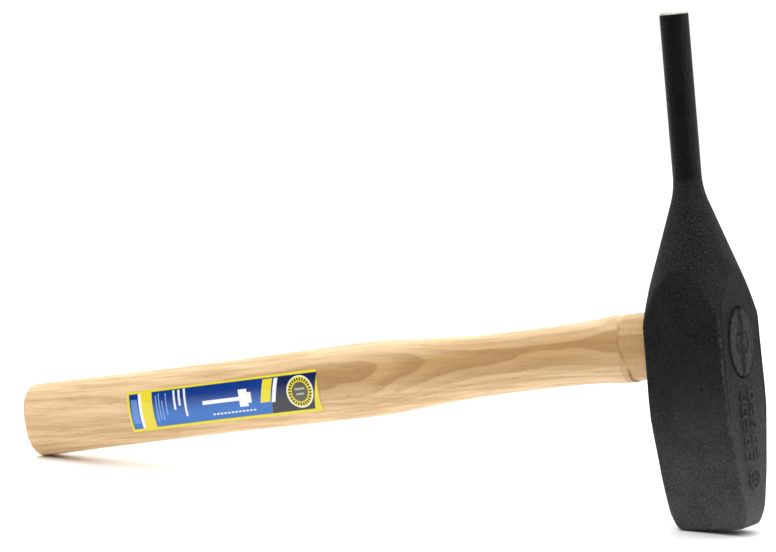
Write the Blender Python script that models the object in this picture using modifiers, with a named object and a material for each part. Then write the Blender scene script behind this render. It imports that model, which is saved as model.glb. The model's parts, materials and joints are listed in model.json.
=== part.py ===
"""Round-punch hammer: a forged head with a long round punch on a wooden handle.

The hammer is modelled in its head's own frame: +Z runs up the head from the poll's
end to the punch's tip, +X points out of the eye away from the grip, and the cheeks
face -Y and +Y.  An empty then leans the whole tool back, so that the poll's rear
edge and the handle's butt both stand on the floor.  Lengths are in metres.
"""
import math

import bmesh
import bpy
from mathutils import Euler, Vector

MM = 0.001
COLLECTION = "round_punch_hammer"
TOUCH_GAP = 0.3 * MM

# Head: heights above the poll's end, along the head's axis
HEAD_HEIGHT = 265.8 * MM
KNEE_HEIGHT = 59.5 * MM
EYE_HEIGHT = 95.2 * MM
CONE_APEX_HEIGHT = 175.0 * MM
BODY_LENGTH = 45.2 * MM
BODY_THICKNESS = 44.4 * MM
BODY_DRAFT = math.radians(0.5)
BLOCK_HEIGHT = 1.1 * HEAD_HEIGHT
BODY_EDGE_RADIUS = 2.4 * MM
BEVELLED_FROM_ANGLE = math.radians(10)

# Poll: the two cheeks close in below the knee to a blunt end with cut corners
POLL_THICKNESS = 14.4 * MM
POLL_END_BEVEL_LENGTH = 5.0 * MM
POLL_END_BEVEL_HEIGHT = 7.5 * MM
POLL_CORNER_CUT_LENGTH = 6.0 * MM
POLL_CORNER_CUT_DEPTH = 3.3 * MM
POLL_CORNER_CUT_HEIGHT = 27.0 * MM

# Punch
PUNCH_RADIUS = 7.45 * MM
PUNCH_TIP_CHAMFER = 1.3 * MM
CONE_SLOPE = 0.3546
CONE_FILLET_RADIUS = 42.0 * MM
CONE_OUTER_RADIUS = 40.0 * MM
FILLET_STEPS = 8
TURNED_STEPS = 64

# Eye, an oval hole straight through the head along X
EYE_TALL = 35.6 * MM
EYE_WIDE = 25.4 * MM
OVAL_STEPS = 48

# Handle: its grip leaves the eye at a small downward angle
GRIP_LENGTH = 427.0 * MM
GRIP_HANG = math.radians(4.1)
GRIP_SQUARENESS = 2.35
BUTT_EDGE_RADIUS = 3.6 * MM
TENON_PROUD = 0.4 * MM
# distance from the head's rear face, height, width, of the sections that set its shape
GRIP_SECTIONS = [
    (0.0, 36.8, 26.6),
    (24.0, 36.4, 26.6),
    (34.0, 34.6, 26.0),
    (52.0, 33.0, 25.0),
    (80.0, 32.5, 24.6),
    (105.0, 32.8, 24.8),
    (128.0, 34.8, 26.0),
    (155.0, 38.3, 28.2),
    (186.0, 41.5, 30.2),
    (225.0, 41.3, 30.0),
    (285.0, 40.8, 29.6),
    (350.0, 41.4, 29.8),
    (400.0, 42.2, 30.4),
    (427.0, 42.8, 30.8),
]
GRIP_STEP = 7.0 * MM
HANG_FULL_AT = 24.0 * MM
SQUARE_FULL_AT = 52.0 * MM
BUTT_EDGE_TURNS = (30, 60, 90)

# Wedges driven into the tenon from the front
WEDGE_DEPTH = 30.0 * MM
WEDGE_THICK_END = 3.6 * MM
WEDGE_THIN_END = 1.0 * MM
WEDGE_TALL = 1.2 * EYE_TALL
RING_OUTER_RADIUS = 6.5 * MM
RING_WALL = 1.3 * MM
RING_DEPTH = 10.0 * MM
RING_EDGE = 0.5 * MM

# Label on the cheek side of the grip
LABEL_START = 211.4 * MM
LABEL_LENGTH = 135.0 * MM
LABEL_TOP_ANGLE = math.radians(25.8)
LABEL_BOTTOM_ANGLE = math.radians(-35.0)
LABEL_THICKNESS = 0.2 * MM
LABEL_COLUMNS = 40
LABEL_ROWS = 8

REAR_FACE = -BODY_LENGTH / 2
FRONT_FACE = BODY_LENGTH / 2


# ---------------------------------------------------------------- scene helpers
def clear_scene():
    """Remove every object that the file opened with."""
    for item in list(bpy.data.objects):
        bpy.data.objects.remove(item, do_unlink=True)


def make_collection(name):
    """A new collection linked to the scene."""
    collection = bpy.data.collections.new(name)
    bpy.context.scene.collection.children.link(collection)
    return collection


def make_material(name, color, roughness, metallic=0.0):
    """A Principled BSDF material of one colour."""
    material = bpy.data.materials.new(name)
    material.use_nodes = True
    shader = material.node_tree.nodes["Principled BSDF"]
    shader.inputs["Base Color"].default_value = (*color, 1.0)
    shader.inputs["Roughness"].default_value = roughness
    shader.inputs["Metallic"].default_value = metallic
    return material


def add_object(name, bm, collection, parent, material=None):
    """Turn a bmesh into a smooth-shaded object in a collection."""
    bmesh.ops.recalc_face_normals(bm, faces=bm.faces)
    mesh = bpy.data.meshes.new(name)
    bm.to_mesh(mesh)
    bm.free()
    mesh.shade_smooth()
    mesh.set_sharp_from_angle(angle=math.radians(35))
    if material:
        mesh.materials.append(material)
    item = bpy.data.objects.new(name, mesh)
    item.parent = parent
    collection.objects.link(item)
    return item


def hide_cutter(item):
    """Show a cutter as a wire only."""
    item.hide_render = True
    item.display_type = "WIRE"


def add_boolean(item, other, operation):
    """Cut or intersect an object with a cutter."""
    modifier = item.modifiers.new(other.name, "BOOLEAN")
    modifier.operation = operation
    modifier.solver = "EXACT"
    modifier.object = other


# ---------------------------------------------------------------- head
def slice_off(bm, point, normal):
    """Cut away what lies beyond a plane, and close the cut."""
    geometry = bm.verts[:] + bm.edges[:] + bm.faces[:]
    cut = bmesh.ops.bisect_plane(
        bm, geom=geometry, plane_co=point, plane_no=normal, clear_outer=True, dist=1e-6
    )
    rim = [piece for piece in cut["geom_cut"] if isinstance(piece, bmesh.types.BMEdge)]
    bmesh.ops.contextual_create(bm, geom=rim)


def plane_through(first, second, third):
    """A point on the plane through three points, and its normal away from the axis."""
    normal = (second - first).cross(third - first).normalized()
    if normal.dot(Vector((first.x, first.y, 0.0))) < 0:
        normal.negate()
    return first, normal


def make_body_block(collection, parent):
    """The head's flat-sided body: a block with its poll end cut to shape."""
    half_x = BODY_LENGTH / 2
    half_y = BODY_THICKNESS / 2
    end_y = POLL_THICKNESS / 2
    bm = bmesh.new()
    bmesh.ops.create_cube(bm, size=1.0)
    bmesh.ops.scale(bm, verts=bm.verts, vec=(BODY_LENGTH, BODY_THICKNESS, BLOCK_HEIGHT))
    bmesh.ops.translate(bm, verts=bm.verts, vec=(0, 0, BLOCK_HEIGHT / 2))
    draft_rise = HEAD_HEIGHT - KNEE_HEIGHT
    draft = draft_rise * math.tan(BODY_DRAFT)
    for side in (-1, 1):
        # Cheek below the knee, then above it
        toe = Vector((0, side * end_y, 0))
        knee = Vector((0, side * half_y, KNEE_HEIGHT))
        top = knee + Vector((0, -side * draft, draft_rise))
        slice_off(bm, *plane_through(toe, knee, knee + Vector((half_x, 0, 0))))
        slice_off(bm, *plane_through(knee, top, knee + Vector((half_x, 0, 0))))
    for end in (-1, 1):
        # Front or rear face above the knee, and the bevel at that end of the poll
        knee = Vector((end * half_x, 0, KNEE_HEIGHT))
        top = knee + Vector((-end * draft, 0, draft_rise))
        slice_off(bm, *plane_through(knee, top, knee + Vector((0, half_y, 0))))
        toe = Vector((end * (half_x - POLL_END_BEVEL_LENGTH), 0, 0))
        heel = Vector((end * half_x, 0, POLL_END_BEVEL_HEIGHT))
        slice_off(bm, *plane_through(heel, toe, toe + Vector((0, half_y, 0))))
    corner_y = end_y + (half_y - end_y) * POLL_CORNER_CUT_HEIGHT / KNEE_HEIGHT
    for end in (-1, 1):
        for side in (-1, 1):
            # Corner cut that fades out up the poll's edge
            on_cheek = Vector((end * (half_x - POLL_CORNER_CUT_LENGTH), side * end_y, 0))
            on_end = Vector((end * half_x, side * (end_y - POLL_CORNER_CUT_DEPTH), 0))
            top = Vector((end * half_x, side * corner_y, POLL_CORNER_CUT_HEIGHT))
            slice_off(bm, *plane_through(on_cheek, on_end, top))
    block = add_object("body_block", bm, collection, parent)
    bevel = block.modifiers.new("edges", "BEVEL")
    bevel.width = BODY_EDGE_RADIUS
    bevel.segments = 2
    bevel.limit_method = "ANGLE"
    bevel.angle_limit = BEVELLED_FROM_ANGLE
    return block


def head_profile():
    """The punch, its fillet and the cone below it, as radius and height, top to bottom."""
    slope_angle = math.atan(CONE_SLOPE)
    tangent = CONE_FILLET_RADIUS * math.tan(slope_angle / 2)
    fillet_top = CONE_APEX_HEIGHT + tangent
    points = [
        (0.0, HEAD_HEIGHT),
        (PUNCH_RADIUS - PUNCH_TIP_CHAMFER, HEAD_HEIGHT),
        (PUNCH_RADIUS, HEAD_HEIGHT - PUNCH_TIP_CHAMFER),
    ]
    for step in range(FILLET_STEPS + 1):
        turn = slope_angle * step / FILLET_STEPS
        radius = PUNCH_RADIUS + CONE_FILLET_RADIUS * (1 - math.cos(turn))
        points.append((radius, fillet_top - CONE_FILLET_RADIUS * math.sin(turn)))
    cone_drop = (CONE_OUTER_RADIUS - PUNCH_RADIUS) / CONE_SLOPE
    below = -0.1 * HEAD_HEIGHT
    points.append((CONE_OUTER_RADIUS, CONE_APEX_HEIGHT - cone_drop))
    points.append((CONE_OUTER_RADIUS, below))
    points.append((0.0, below))
    return points


def make_turned(name, profile, collection, parent, material=None):
    """A solid of revolution about Z from a profile that ends on the axis or is closed."""
    bm = bmesh.new()
    verts = [bm.verts.new((radius, 0, height)) for radius, height in profile]
    for first, second in zip(verts, verts[1:]):
        bm.edges.new((first, second))
    mesh = bpy.data.meshes.new(name)
    bm.to_mesh(mesh)
    bm.free()
    if material:
        mesh.materials.append(material)
    item = bpy.data.objects.new(name, mesh)
    item.parent = parent
    collection.objects.link(item)
    screw = item.modifiers.new("turn", "SCREW")
    screw.axis = "Z"
    screw.steps = TURNED_STEPS
    screw.render_steps = TURNED_STEPS
    screw.use_merge_vertices = True
    screw.merge_threshold = 0.00001
    return item


def make_oval_bar(name, tall, wide, start, end, collection, parent):
    """An oval bar along X, used to cut or trim."""
    bm = bmesh.new()
    bmesh.ops.create_cone(
        bm, cap_ends=True, segments=OVAL_STEPS, radius1=0.5, radius2=0.5, depth=1.0
    )
    bmesh.ops.rotate(bm, verts=bm.verts, matrix=Euler((0, math.pi / 2, 0)).to_matrix())
    bmesh.ops.scale(bm, verts=bm.verts, vec=(end - start, wide, tall))
    bmesh.ops.translate(bm, verts=bm.verts, vec=((start + end) / 2, 0, EYE_HEIGHT))
    item = add_object(name, bm, collection, parent)
    hide_cutter(item)
    return item


def make_head(parts, cutters, parent, material):
    """The forged head: the turned punch and cone met by the flat-sided body, with its eye."""
    head = make_turned("head", head_profile(), parts, parent, material)
    block = make_body_block(cutters, parent)
    hide_cutter(block)
    overshoot = BODY_LENGTH
    eye = make_oval_bar("eye_hole", EYE_TALL, EYE_WIDE, -overshoot, overshoot, cutters, parent)
    add_boolean(head, block, "INTERSECT")
    add_boolean(head, eye, "DIFFERENCE")
    return head


# ---------------------------------------------------------------- handle
def smooth_between(table, place, column):
    """Value of a column at a distance, on a smooth curve through the table's rows."""
    rows = [(row[0] * MM, row[column] * MM) for row in table]
    if place <= rows[0][0]:
        return rows[0][1]
    if place >= rows[-1][0]:
        return rows[-1][1]
    index = max(number for number, row in enumerate(rows[:-1]) if row[0] <= place)

    def slope(number):
        if number == 0 or number == len(rows) - 1:
            return 0.0
        before = (rows[number][1] - rows[number - 1][1]) / (rows[number][0] - rows[number - 1][0])
        after = (rows[number + 1][1] - rows[number][1]) / (rows[number + 1][0] - rows[number][0])
        if before * after <= 0:
            return 0.0
        return 2 * before * after / (before + after)

    span = rows[index + 1][0] - rows[index][0]
    part = (place - rows[index][0]) / span
    rise = rows[index + 1][1] - rows[index][1]
    bend_in = slope(index) * span
    bend_out = slope(index + 1) * span
    ease = part * part * (3 - 2 * part)
    return (
        rows[index][1]
        + rise * ease
        + bend_in * part * (1 - part) ** 2
        - bend_out * part * part * (1 - part)
    )


def grip_centre(place):
    """Centre of the grip at a distance from the head's rear face, and its downward angle."""
    hang = GRIP_HANG * min(1.0, place / HANG_FULL_AT)
    drop = math.tan(GRIP_HANG) * max(0.0, place - HANG_FULL_AT / 2)
    return Vector((REAR_FACE - place * math.cos(GRIP_HANG), 0, EYE_HEIGHT - drop)), hang


def oval_point(centre, hang, tall, wide, angle, squareness):
    """Point of an oval section; angle 0 faces -Y and a quarter turn is the top."""
    across = math.copysign(abs(math.cos(angle)) ** (2 / squareness), math.cos(angle))
    up = math.copysign(abs(math.sin(angle)) ** (2 / squareness), math.sin(angle))
    lift = up * tall / 2
    return centre + Vector((-math.sin(hang) * lift, -across * wide / 2, math.cos(hang) * lift))


def handle_sections():
    """Every section of the handle, from the tenon's front end to the butt."""
    tenon_tall = EYE_TALL - 2 * TOUCH_GAP
    tenon_wide = EYE_WIDE - 2 * TOUCH_GAP
    front = Vector((FRONT_FACE + TENON_PROUD, 0, EYE_HEIGHT))
    back = Vector((REAR_FACE - TOUCH_GAP, 0, EYE_HEIGHT))
    sections = [
        (front, 0.0, tenon_tall, tenon_wide, 2.0),
        (back, 0.0, tenon_tall, tenon_wide, 2.0),
    ]
    straight = GRIP_LENGTH - BUTT_EDGE_RADIUS
    count = math.ceil(straight / GRIP_STEP)
    places = [TOUCH_GAP + (straight - TOUCH_GAP) * step / count for step in range(count + 1)]
    for turn in BUTT_EDGE_TURNS:
        places.append(straight + BUTT_EDGE_RADIUS * math.sin(math.radians(turn)))
    for place in places:
        past = max(0.0, place - straight)
        inset = BUTT_EDGE_RADIUS - math.sqrt(BUTT_EDGE_RADIUS**2 - past**2)
        tall = smooth_between(GRIP_SECTIONS, place, 1) - 2 * inset
        wide = smooth_between(GRIP_SECTIONS, place, 2) - 2 * inset
        fade = min(1.0, place / SQUARE_FULL_AT)
        squareness = 2.0 + (GRIP_SQUARENESS - 2.0) * fade
        centre, hang = grip_centre(place)
        sections.append((centre, hang, tall, wide, squareness))
    return sections


def loft(sections):
    """A closed solid through a row of oval sections."""
    bm = bmesh.new()
    rings = []
    for centre, hang, tall, wide, squareness in sections:
        turns = [2 * math.pi * step / OVAL_STEPS for step in range(OVAL_STEPS)]
        points = [oval_point(centre, hang, tall, wide, turn, squareness) for turn in turns]
        rings.append([bm.verts.new(point) for point in points])
    for ring, following in zip(rings, rings[1:]):
        for step in range(OVAL_STEPS):
            after = (step + 1) % OVAL_STEPS
            bm.faces.new((ring[step], ring[after], following[after], following[step]))
    bm.faces.new(rings[0])
    bm.faces.new(rings[-1])
    return bm


def make_wedge_solid(name, clearance, collection, parent, material=None):
    """The wood wedge's tapered slab, or with clearance the kerf that it fills."""
    depth = WEDGE_DEPTH + clearance
    thick = WEDGE_THICK_END + 2 * clearance
    thin = WEDGE_THIN_END + 2 * clearance
    proud = 0.0 if clearance == 0.0 else TENON_PROUD + MM
    tall = WEDGE_TALL
    front = FRONT_FACE + TENON_PROUD + proud
    grow = (thick - thin) / depth * proud
    bm = bmesh.new()
    bmesh.ops.create_cube(bm, size=1.0)
    for vert in bm.verts:
        at_front = vert.co.x > 0
        vert.co.x = front if at_front else FRONT_FACE + TENON_PROUD - depth
        vert.co.y = math.copysign((thick + grow) / 2 if at_front else thin / 2, vert.co.y)
        vert.co.z = EYE_HEIGHT + math.copysign(tall / 2, vert.co.z)
    return add_object(name, bm, collection, parent, material)


def make_ring(name, clearance, collection, parent, material=None):
    """The ring wedge, a short steel tube with a bevelled mouth, or the groove around it."""
    outer = RING_OUTER_RADIUS + clearance
    inner = RING_OUTER_RADIUS - RING_WALL - clearance
    top = 0.0 if clearance == 0.0 else MM
    bottom = -RING_DEPTH - clearance
    profile = [
        (inner, bottom),
        (inner, top - RING_EDGE),
        (inner + RING_EDGE / 2, top),
        (outer - RING_EDGE / 2, top),
        (outer, top - RING_EDGE),
        (outer, bottom),
        (inner, bottom),
    ]
    ring = make_turned(name, profile, collection, parent, material)
    ring.location = (FRONT_FACE + TENON_PROUD, 0, EYE_HEIGHT)
    ring.rotation_euler = (0, math.pi / 2, 0)
    return ring


def make_handle_and_wedges(parts, cutters, parent, materials):
    """The handle with its kerf and groove, and the two wedges that spread it."""
    handle = add_object("handle", loft(handle_sections()), parts, parent, materials["wood"])
    wedge = make_wedge_solid("wood_wedge", 0.0, parts, parent, materials["wedge"])
    ring = make_ring("ring_wedge", 0.0, parts, parent, materials["steel"])
    kerf = make_wedge_solid("kerf", TOUCH_GAP, cutters, parent)
    hide_cutter(kerf)
    groove = make_ring("ring_groove", TOUCH_GAP, cutters, parent)
    hide_cutter(groove)
    trim = make_oval_bar(
        "wedge_trim",
        EYE_TALL - 2 * TOUCH_GAP,
        EYE_WIDE - 2 * TOUCH_GAP,
        -BODY_LENGTH,
        BODY_LENGTH,
        cutters,
        parent,
    )
    add_boolean(handle, kerf, "DIFFERENCE")
    add_boolean(handle, groove, "DIFFERENCE")
    add_boolean(wedge, trim, "INTERSECT")
    add_boolean(wedge, groove, "DIFFERENCE")
    return handle, wedge, ring


def make_label(parts, parent, material):
    """The label: a thin sheet that follows the grip's side."""
    bm = bmesh.new()
    rows = []
    for column in range(LABEL_COLUMNS + 1):
        place = LABEL_START + LABEL_LENGTH * column / LABEL_COLUMNS
        centre, hang = grip_centre(place)
        tall = smooth_between(GRIP_SECTIONS, place, 1) + 2 * TOUCH_GAP
        wide = smooth_between(GRIP_SECTIONS, place, 2) + 2 * TOUCH_GAP
        line = []
        for row in range(LABEL_ROWS + 1):
            part = row / LABEL_ROWS
            angle = LABEL_TOP_ANGLE + (LABEL_BOTTOM_ANGLE - LABEL_TOP_ANGLE) * part
            point = oval_point(centre, hang, tall, wide, angle, GRIP_SQUARENESS)
            line.append(bm.verts.new(point))
        rows.append(line)
    for line, following in zip(rows, rows[1:]):
        for row in range(LABEL_ROWS):
            bm.faces.new((line[row], line[row + 1], following[row + 1], following[row]))
    label = add_object("label", bm, parts, parent, material)
    solidify = label.modifiers.new("thickness", "SOLIDIFY")
    solidify.thickness = LABEL_THICKNESS
    solidify.offset = 1.0
    return label


# ---------------------------------------------------------------- assembly
def lean_angle():
    """How far the head leans back when poll and butt both touch the floor."""
    heel_x = REAR_FACE + POLL_END_BEVEL_LENGTH
    centre, hang = grip_centre(GRIP_LENGTH - BUTT_EDGE_RADIUS)
    drop = GRIP_SECTIONS[-1][1] * MM / 2
    butt_x = centre.x + math.sin(hang) * drop
    butt_z = centre.z - math.cos(hang) * drop
    return math.atan2(butt_z, heel_x - butt_x)


def stand_on_origin(tool, parts):
    """Move the tool so that its box stands on the origin, centred."""
    bpy.context.view_layer.update()
    graph = bpy.context.evaluated_depsgraph_get()
    corners = []
    for item in parts.objects:
        seen = item.evaluated_get(graph)
        corners += [seen.matrix_world @ vert.co for vert in seen.data.vertices]
    middle = [(min(c[axis] for c in corners) + max(c[axis] for c in corners)) / 2 for axis in (0, 1)]
    lowest = min(corner.z for corner in corners)
    tool.location = (-middle[0], -middle[1], -lowest)
    bpy.context.view_layer.update()


def main():
    clear_scene()
    parts = make_collection(COLLECTION)
    cutters = make_collection("cutters")
    materials = {
        "paint": make_material("black_paint", (0.030, 0.031, 0.033), 0.55),
        "wood": make_material("ash_wood", (0.74, 0.54, 0.33), 0.5),
        "wedge": make_material("wedge_wood", (0.60, 0.45, 0.30), 0.6),
        "steel": make_material("ring_steel", (0.10, 0.10, 0.105), 0.45, 0.6),
        "label": make_material("label_film", (0.05, 0.14, 0.50), 0.3),
    }
    tool = bpy.data.objects.new("tool", None)
    tool.rotation_euler = (0, -lean_angle(), 0)
    bpy.context.scene.collection.objects.link(tool)
    make_head(parts, cutters, tool, materials["paint"])
    make_handle_and_wedges(parts, cutters, tool, materials)
    make_label(parts, tool, materials["label"])
    stand_on_origin(tool, parts)


main()
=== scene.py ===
"""Looks for the round-punch hammer: forged black head, lacquered wooden handle, wedges and label.

Every piece is built in the hammer's own frame, found from the record's mounts: +Z runs up the
head from the poll's end to the punch's tip, +X points out of the eye, and the label faces -Y.
"""
import json
import math

import bmesh
import bpy
import numpy as np
from mathutils import Matrix, Vector


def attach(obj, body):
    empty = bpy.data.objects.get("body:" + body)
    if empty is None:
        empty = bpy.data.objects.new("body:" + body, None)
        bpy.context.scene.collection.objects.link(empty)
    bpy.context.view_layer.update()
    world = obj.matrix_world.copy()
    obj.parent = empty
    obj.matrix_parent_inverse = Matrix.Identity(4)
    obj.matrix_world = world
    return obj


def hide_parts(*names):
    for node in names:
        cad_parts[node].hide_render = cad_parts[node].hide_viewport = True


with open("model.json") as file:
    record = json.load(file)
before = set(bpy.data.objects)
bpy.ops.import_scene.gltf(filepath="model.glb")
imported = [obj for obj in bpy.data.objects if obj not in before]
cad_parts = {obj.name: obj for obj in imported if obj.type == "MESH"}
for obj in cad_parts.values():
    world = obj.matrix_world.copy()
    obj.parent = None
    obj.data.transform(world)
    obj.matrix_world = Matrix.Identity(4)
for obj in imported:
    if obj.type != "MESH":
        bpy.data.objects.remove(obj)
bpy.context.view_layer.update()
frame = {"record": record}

MM = 0.001

# Head, heights above the poll's end
KNEE_HEIGHT = 59.5 * MM
EYE_HEIGHT = 95.2 * MM
CONE_APEX_HEIGHT = 175.0 * MM
HALF_LENGTH = 22.6 * MM
HALF_THICKNESS = 22.2 * MM
BODY_DRAFT = math.tan(math.radians(0.5))
# The poll is thicker here than in the CAD part, and its bevels and corner cuts are smaller
POLL_HALF_THICKNESS = 10.0 * MM
POLL_BEVEL_LENGTH = 4.6 * MM
POLL_BEVEL_HEIGHT = 7.0 * MM
CORNER_CUT_LENGTH = 5.0 * MM
CORNER_CUT_DEPTH = 2.8 * MM
CORNER_CUT_HEIGHT = 27.0 * MM
PUNCH_RADIUS = 7.45 * MM
TIP_CHAMFER = 1.3 * MM
CONE_SLOPE = 0.3546
CONE_FILLET_RADIUS = 42.0 * MM
PUNCH_BEND = 0.009

# Eye, handle, wedges and label
EYE_TALL = 35.6 * MM
EYE_WIDE = 25.4 * MM
EYE_FIT = 0.1 * MM
GRIP_LENGTH = 427.0 * MM
GRIP_HANG = math.radians(4.1)
GRIP_SQUARENESS = 2.35
BUTT_EDGE_RADIUS = 3.6 * MM
TENON_PROUD = 0.4 * MM
GRIP_SECTIONS = np.array([
    (0.0, 36.8, 26.6),
    (24.0, 36.4, 26.6),
    (34.0, 34.6, 26.0),
    (52.0, 33.0, 25.0),
    (80.0, 32.5, 24.6),
    (105.0, 32.8, 24.8),
    (128.0, 34.8, 26.0),
    (155.0, 38.3, 28.2),
    (186.0, 41.5, 30.2),
    (225.0, 41.3, 30.0),
    (285.0, 40.8, 29.6),
    (350.0, 41.4, 29.8),
    (400.0, 42.2, 30.4),
    (427.0, 42.8, 30.8),
]) * MM
WEDGE_DEPTH = 30.0 * MM
WEDGE_THICK_END = 3.6 * MM
WEDGE_THIN_END = 1.0 * MM
RING_OUTER_RADIUS = 6.5 * MM
RING_WALL = 1.3 * MM
RING_DEPTH = 10.0 * MM
LABEL_START = 211.4 * MM
LABEL_LENGTH = 135.0 * MM
LABEL_TOP_ANGLE = math.radians(25.8)
LABEL_BOTTOM_ANGLE = math.radians(-35.0)
LABEL_LIFT = 0.10 * MM
LABEL_THICKNESS = 0.12 * MM

# Marks, seam, a scuff, a painted glint and the painted floor-light fade on the head, heights above the
# poll's end
MARK_COUNT = 10
MARK_RELIEF = 0.85 * MM
MARK_HALF_LINE = 0.62 * MM
SEAM_STARTS = (0.052, 0.062)
SEAM_ENDS = (0.118, 0.128)
SEAM_RIDGE = 0.20 * MM
SEAM_GROOVE = 0.50 * MM
# Height of a painted glint on the arrises
GLINT_HEIGHT = 0.1265
SCUFF_HEIGHT = 0.0735
FORGED_ENDS = (0.150, 0.185)
MACHINED_STARTS = (0.168, 0.182)
# Heights over which the painted floor light fades out
FLOOR_LIGHT_FADES = (-0.02, 0.100)

# Rasped collar beside the head: facet angles from the side, and their distances in millimetres
FACETS = [(0, 12.3), (36, 14.1), (64, 16.5), (90, 17.7), (-40, 14.4), (-66, 16.6), (-90, 17.7)]
COLLAR_HALF_WIDE = 13.3 * MM
COLLAR_HALF_TALL = 18.3 * MM
COLLAR_SHRINK = 0.992

# Fineness of the meshes: points round a section, and (low, high, rows) up the head in millimetres
HEAD_POINTS = 300
HEAD_SPANS = [(0, 4, 12), (4, 18, 16), (18, 74, 112), (74, 132, 72), (132, 188, 56), (188, 263.4, 30)]
HEAD_TOP_ROWS = 12
HEAD_FIRST_CAP = 12
HEAD_LAST_CAP = 10
OVAL_POINTS = 144
ROUND_POINTS = 96
CREASE_ANGLE = math.radians(40)
NOISE_CELLS = 32
CUT_CLEARANCE = 0.05 * MM
CUT_OVERRUN = 1.5 * MM

# Colours
YELLOW = (0.80, 0.68, 0.035)
WHITE = (0.88, 0.89, 0.90)
NAVY = (0.004, 0.016, 0.085)
CHARCOAL = (0.030, 0.031, 0.036)
LIGHT_BLUE = (0.14, 0.31, 0.72)
SOFT_BLUE = (0.20, 0.40, 0.80)
SEAL_BROWN = (0.10, 0.095, 0.05)
SEAL_GREY = (0.42, 0.42, 0.40)
DEEP_BLACK = (0.0003, 0.0003, 0.0005)
BRUSHED_BLACK = (0.015, 0.015, 0.015)

# Label print in millimetres: left edge, low end and high end of each plain bar
FINE_BARS = ((20.5, 4.5, 20.0), (22.6, 5.5, 21.0), (24.7, 5.0, 16.5), (27.6, 8.0, 20.5))
FINE_BAR_WIDTH = 0.9
BOLD_BARS = ((33.4, 10.5, 21.5), (37.0, 12.5, 21.5), (41.0, 6.0, 21.8))
BOLD_BAR_WIDTH = 1.5
OUTLINE_WIDTH = 0.3
OUTLINE_STRENGTH = 0.75

# Stage
FLOOR_REACH = 15.0
FLOOR_FRONT = 0.55
HEAD_AIM = (0.1, 0.0, 0.12)
ROOM_LIGHT = 0.05
BACKDROP_LIGHT = 1.1
CAMERA_PLACE = (0.9756, -1.4425, 0.3263)
CAMERA_AZIMUTH = 33.694
CAMERA_ELEVATION = 6.7685
CAMERA_ROLL = -0.604
CAMERA_LENS = 148.45
DOME_FROM = (-0.1, 0.1, 1.0)
DOME_POWER = 3.45
DOME_ANGLE = math.radians(130)


# ---------------------------------------------------------------- frame and helpers
def mount(name):
    """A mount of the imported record, by name."""
    return next(entry for entry in frame["record"]["mounts"] if entry["name"] == name)


def tool_matrix():
    """The hammer's own frame in the world, from its punch and poll mounts."""
    up = Vector(mount("punch_tip")["axis"]).normalized()
    side = Vector((0, 1, 0))
    forward = side.cross(up).normalized()
    matrix = Matrix((forward, side, up)).transposed().to_4x4()
    matrix.translation = Vector(mount("poll_face")["pos_m"])
    return matrix


TOOL = tool_matrix()
HEAD_HEIGHT = (Vector(mount("punch_tip")["pos_m"]) - TOOL.translation).length


def add_piece(name, mesh, material, slot, *replaced):
    """Put a mesh in the tool's frame as a piece that rides with the hammer."""
    mesh.materials.clear()
    mesh.materials.append(material)
    mesh.transform(TOOL)
    piece = bpy.data.objects.new(name, mesh)
    bpy.context.scene.collection.objects.link(piece)
    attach(piece, "root")
    if replaced:
        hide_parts(*replaced)
    return piece


def grid_mesh(name, rings, first_cap, last_cap):
    """A closed tube through rings of points, each end filled by shrinking copies of its ring.

    rings is an array (ring, point, 3); a cap is the number of shrinking steps at that end.
    """
    rows = list(rings)
    for cap, at_start in ((first_cap, True), (last_cap, False)):
        edge = rows[0] if at_start else rows[-1]
        middle = edge.mean(axis=0)
        for step in range(1, cap):
            ring = middle + (edge - middle) * (1 - step / cap)
            if at_start:
                rows.insert(0, ring)
            else:
                rows.append(ring)
    count = rings.shape[1]
    points = np.concatenate(rows + [rows[0].mean(axis=0)[None], rows[-1].mean(axis=0)[None]])
    index = np.arange(len(rows) * count).reshape(len(rows), count)
    after = np.roll(index, -1, axis=1)
    quads = np.stack([index[:-1], after[:-1], after[1:], index[1:]], axis=-1).reshape(-1, 4)
    start, end = len(rows) * count, len(rows) * count + 1
    faces = quads.tolist()
    faces += [(start, after[0, k], index[0, k]) for k in range(count)]
    faces += [(end, index[-1, k], after[-1, k]) for k in range(count)]
    mesh = bpy.data.meshes.new(name)
    mesh.from_pydata(points.tolist(), [], faces)
    face_out(mesh)
    return mesh


def face_out(mesh):
    """Turn every face outwards and shade smooth with crisp edges kept."""
    bm = bmesh.new()
    bm.from_mesh(mesh)
    bmesh.ops.recalc_face_normals(bm, faces=bm.faces)
    bm.to_mesh(mesh)
    bm.free()
    mesh.shade_smooth()
    mesh.set_sharp_from_angle(angle=CREASE_ANGLE)


def cut(piece_mesh, cutter_mesh, operation="DIFFERENCE"):
    """The mesh left when one closed mesh cuts another."""
    base = bpy.data.objects.new("base", piece_mesh)
    tool = bpy.data.objects.new("cutter", cutter_mesh)
    for item in (base, tool):
        bpy.context.scene.collection.objects.link(item)
    modifier = base.modifiers.new("cut", "BOOLEAN")
    modifier.operation = operation
    modifier.solver = "MANIFOLD"
    modifier.object = tool
    bpy.context.view_layer.update()
    graph = bpy.context.evaluated_depsgraph_get()
    result = bpy.data.meshes.new_from_object(base.evaluated_get(graph))
    result.name = piece_mesh.name
    for item in (base, tool):
        bpy.data.objects.remove(item, do_unlink=True)
    return result


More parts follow.
